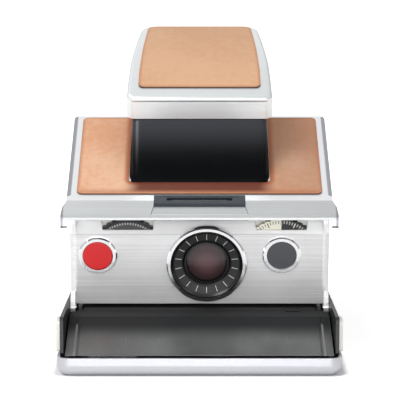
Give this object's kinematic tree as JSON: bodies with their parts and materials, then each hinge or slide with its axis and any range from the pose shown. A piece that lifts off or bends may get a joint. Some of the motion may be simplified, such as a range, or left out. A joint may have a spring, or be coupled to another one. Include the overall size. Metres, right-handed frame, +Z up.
{
  "type": "folding instant camera",
  "caption": "Folding single-lens-reflex instant camera, standing erected: flat chrome and tan leather covers over a bellows, with a shutter housing, film door and pop-up viewfinder.",
  "frame": {"origin": "centre of the bounding box on the surface the camera stands on", "axes": "+X to the right seen from the front, the lens looks to -Y, +Z up"},
  "size_m": [0.1052, 0.178, 0.1229],
  "materials": {
    "chrome": "brushed satin plating",
    "chrome_bright": "polished",
    "tan_leather": "fine grained, waxed",
    "black_plastic": "fine matt",
    "door_plastic": "satin",
    "film_pack": "matt",
    "boot_rubber": "satin",
    "bellows_rubber": "matt",
    "mirror": "front silvered",
    "steel": "satin",
    "glass": "coated",
    "meter_glass": "glossy, dark",
    "red_plastic": "glossy",
    "wheel_plastic": "satin",
    "blade_foil": "blackened",
    "gear_plastic": "satin",
    "circuit": "satin",
    "copper": "satin",
    "latch_plastic": "satin"
  },
  "bodies": {
    "root": {"base_shell": "chrome", "chassis": "black_plastic", "film_pack": "film_pack", "fresnel_carrier": "black_plastic", "rear_hinge_pins": "steel", "housing_hinge_pins": "steel", "door_hinge_pin": "steel", "door_latch_left": "latch_plastic", "bellows": "bellows_rubber"},
    "rear_cover": {"rear_cover": "chrome", "rear_leather": "tan_leather", "taking_mirror": "mirror", "apex_barrel": "chrome", "apex_hinge_pins": "steel", "brace_pin": "steel"},
    "support_brace": {"support_brace": "steel"},
    "front_cover": {"front_cover": "chrome", "front_leather": "tan_leather", "flash_socket": "black_plastic", "flash_socket_cover": "chrome", "lower_link_pins": "steel", "viewfinder_boot": "boot_rubber"},
    "link_front": {"link_front": "steel"},
    "link_rear": {"link_rear": "steel"},
    "viewfinder_cap": {"viewfinder_cap": "chrome", "cap_leather": "tan_leather", "eyepiece_frame": "black_plastic", "eyepiece_lens": "glass", "viewfinder_mirror": "mirror", "upper_link_pins": "steel"},
    "shutter_housing": {"housing_shell": "chrome", "housing_back": "black_plastic", "housing_lugs": "chrome", "lens_ring": "chrome_bright", "lens_barrel": "black_plastic", "rear_lens": "glass", "wheel_axles": "steel", "button_bezel": "chrome_bright", "meter_bezel": "chrome_bright", "meter_eye": "meter_glass", "circuit_board": "circuit", "shutter_solenoid": "copper"},
    "focus_ring": {"focus_ring": "black_plastic", "front_lens": "glass"},
    "focus_wheel": {"focus_wheel": "wheel_plastic"},
    "exposure_wheel": {"exposure_wheel": "wheel_plastic"},
    "shutter_button": {"shutter_button": "red_plastic"},
    "shutter_blade_left": {"shutter_blade_left": "blade_foil"},
    "shutter_blade_right": {"shutter_blade_right": "blade_foil"},
    "film_door": {"door_tray": "chrome", "door_nose": "door_plastic", "roller_brackets": "black_plastic", "idler_bracket": "black_plastic", "drive_motor": "steel"},
    "roller_lower": {"roller_lower": "steel"},
    "roller_upper": {"roller_upper": "steel"},
    "idler_gear": {"idler_gear": "gear_plastic"},
    "motor_pinion": {"motor_pinion": "gear_plastic"},
    "door_latch": {"door_latch_right": "latch_plastic"}
  },
  "joints": [
    {"name": "fold", "type": "hinge", "parent": "root", "child": "rear_cover", "pos_m": [0, 0.084, 0.02], "axis": [1, 0, 0], "range_deg": [0, 36.49], "deforming": ["bellows"]},
    {"name": "brace_swing", "type": "hinge", "parent": "rear_cover", "child": "support_brace", "pos_m": [0.0471, 0.04582, 0.05247], "axis": [1, 0, 0], "range_deg": [-86.11, 0]},
    {"name": "front_cover_fold", "type": "hinge", "parent": "rear_cover", "child": "front_cover", "pos_m": [0, 0.00297, 0.08242], "axis": [1, 0, 0], "range_deg": [-62.58, 0]},
    {"name": "cap_link_front", "type": "hinge", "parent": "front_cover", "child": "link_front", "pos_m": [0, -0.02857, 0.07612], "axis": [1, 0, 0], "range_deg": [0, 112.77], "deforming": ["viewfinder_boot"]},
    {"name": "cap_link_rear", "type": "hinge", "parent": "front_cover", "child": "link_rear", "pos_m": [0, -0.00656, 0.08689], "axis": [1, 0, 0], "range_deg": [0, 112.77]},
    {"name": "cap_pivot", "type": "hinge", "parent": "link_front", "child": "viewfinder_cap", "pos_m": [0, -0.02947, 0.0916], "axis": [1, 0, 0], "range_deg": [-112.77, 0]},
    {"name": "housing_fold", "type": "hinge", "parent": "root", "child": "shutter_housing", "pos_m": [0, -0.04641, 0.0182], "axis": [1, 0, 0], "range_deg": [0, 79.46]},
    {"name": "focus_wheel_turn", "type": "hinge", "parent": "shutter_housing", "child": "focus_wheel", "pos_m": [-0.0272, -0.04574, 0.0386], "axis": [0, -0.9703, -0.2419], "range_deg": [-60, 60]},
    {"name": "focus_ring_turn", "type": "hinge", "parent": "shutter_housing", "child": "focus_ring", "pos_m": [0.0027, -0.04786, 0.03555], "axis": [0, -0.9703, -0.2419], "range_deg": [-64.3, 64.3]},
    {"name": "exposure_wheel_turn", "type": "hinge", "parent": "shutter_housing", "child": "exposure_wheel", "pos_m": [0.031, -0.04574, 0.0386], "axis": [0, -0.9703, -0.2419], "range_deg": [-45, 45]},
    {"name": "shutter_press", "type": "slide", "parent": "shutter_housing", "child": "shutter_button", "axis": [0, 0.9703, 0.2419], "range_m": [0, 0.001], "stiffness_N_per_m": 1500, "springref_m": -0.001},
    {"name": "blade_left_slide", "type": "slide", "parent": "shutter_housing", "child": "shutter_blade_left", "axis": [-1, 0, 0], "range_m": [0, 0.003]},
    {"name": "blade_right_slide", "type": "slide", "parent": "shutter_housing", "child": "shutter_blade_right", "axis": [1, 0, 0], "range_m": [0, 0.003]},
    {"name": "film_door_open", "type": "hinge", "parent": "root", "child": "film_door", "pos_m": [0, -0.0368, 0.001], "axis": [1, 0, 0], "range_deg": [0, 90]},
    {"name": "roller_lower_spin", "type": "hinge", "parent": "film_door", "child": "roller_lower", "pos_m": [0, -0.0405, 0.0087], "axis": [1, 0, 0], "continuous": true},
    {"name": "roller_upper_spin", "type": "hinge", "parent": "film_door", "child": "roller_upper", "pos_m": [0, -0.0405, 0.0153], "axis": [1, 0, 0], "continuous": true},
    {"name": "idler_spin", "type": "hinge", "parent": "film_door", "child": "idler_gear", "pos_m": [-0.0465, -0.0466, 0.0072], "axis": [1, 0, 0], "continuous": true},
    {"name": "motor_spin", "type": "hinge", "parent": "film_door", "child": "motor_pinion", "pos_m": [-0.046, -0.0537, 0.0054], "axis": [1, 0, 0], "continuous": true},
    {"name": "door_latch_slide", "type": "slide", "parent": "root", "child": "door_latch", "axis": [0, -1, 0], "range_m": [0, 0.003]}
  ],
  "couplings": [
    {"joint": "front_cover_fold", "follows": "fold", "ratio": -1.7145},
    {"joint": "brace_swing", "follows": "fold", "ratio": -2.3594},
    {"joint": "housing_fold", "follows": "fold", "ratio": 2.177},
    {"joint": "cap_link_front", "follows": "fold", "ratio": 3.0899},
    {"joint": "cap_link_rear", "follows": "fold", "ratio": 3.0899},
    {"joint": "cap_pivot", "follows": "fold", "ratio": -3.0899},
    {"joint": "focus_ring_turn", "follows": "focus_wheel_turn", "ratio": -1.0696},
    {"joint": "blade_right_slide", "follows": "blade_left_slide", "ratio": 1},
    {"joint": "roller_upper_spin", "follows": "roller_lower_spin", "ratio": -1},
    {"joint": "idler_spin", "follows": "roller_lower_spin", "ratio": -0.66667},
    {"joint": "motor_spin", "follows": "roller_lower_spin", "ratio": 0.66667}
  ]
}
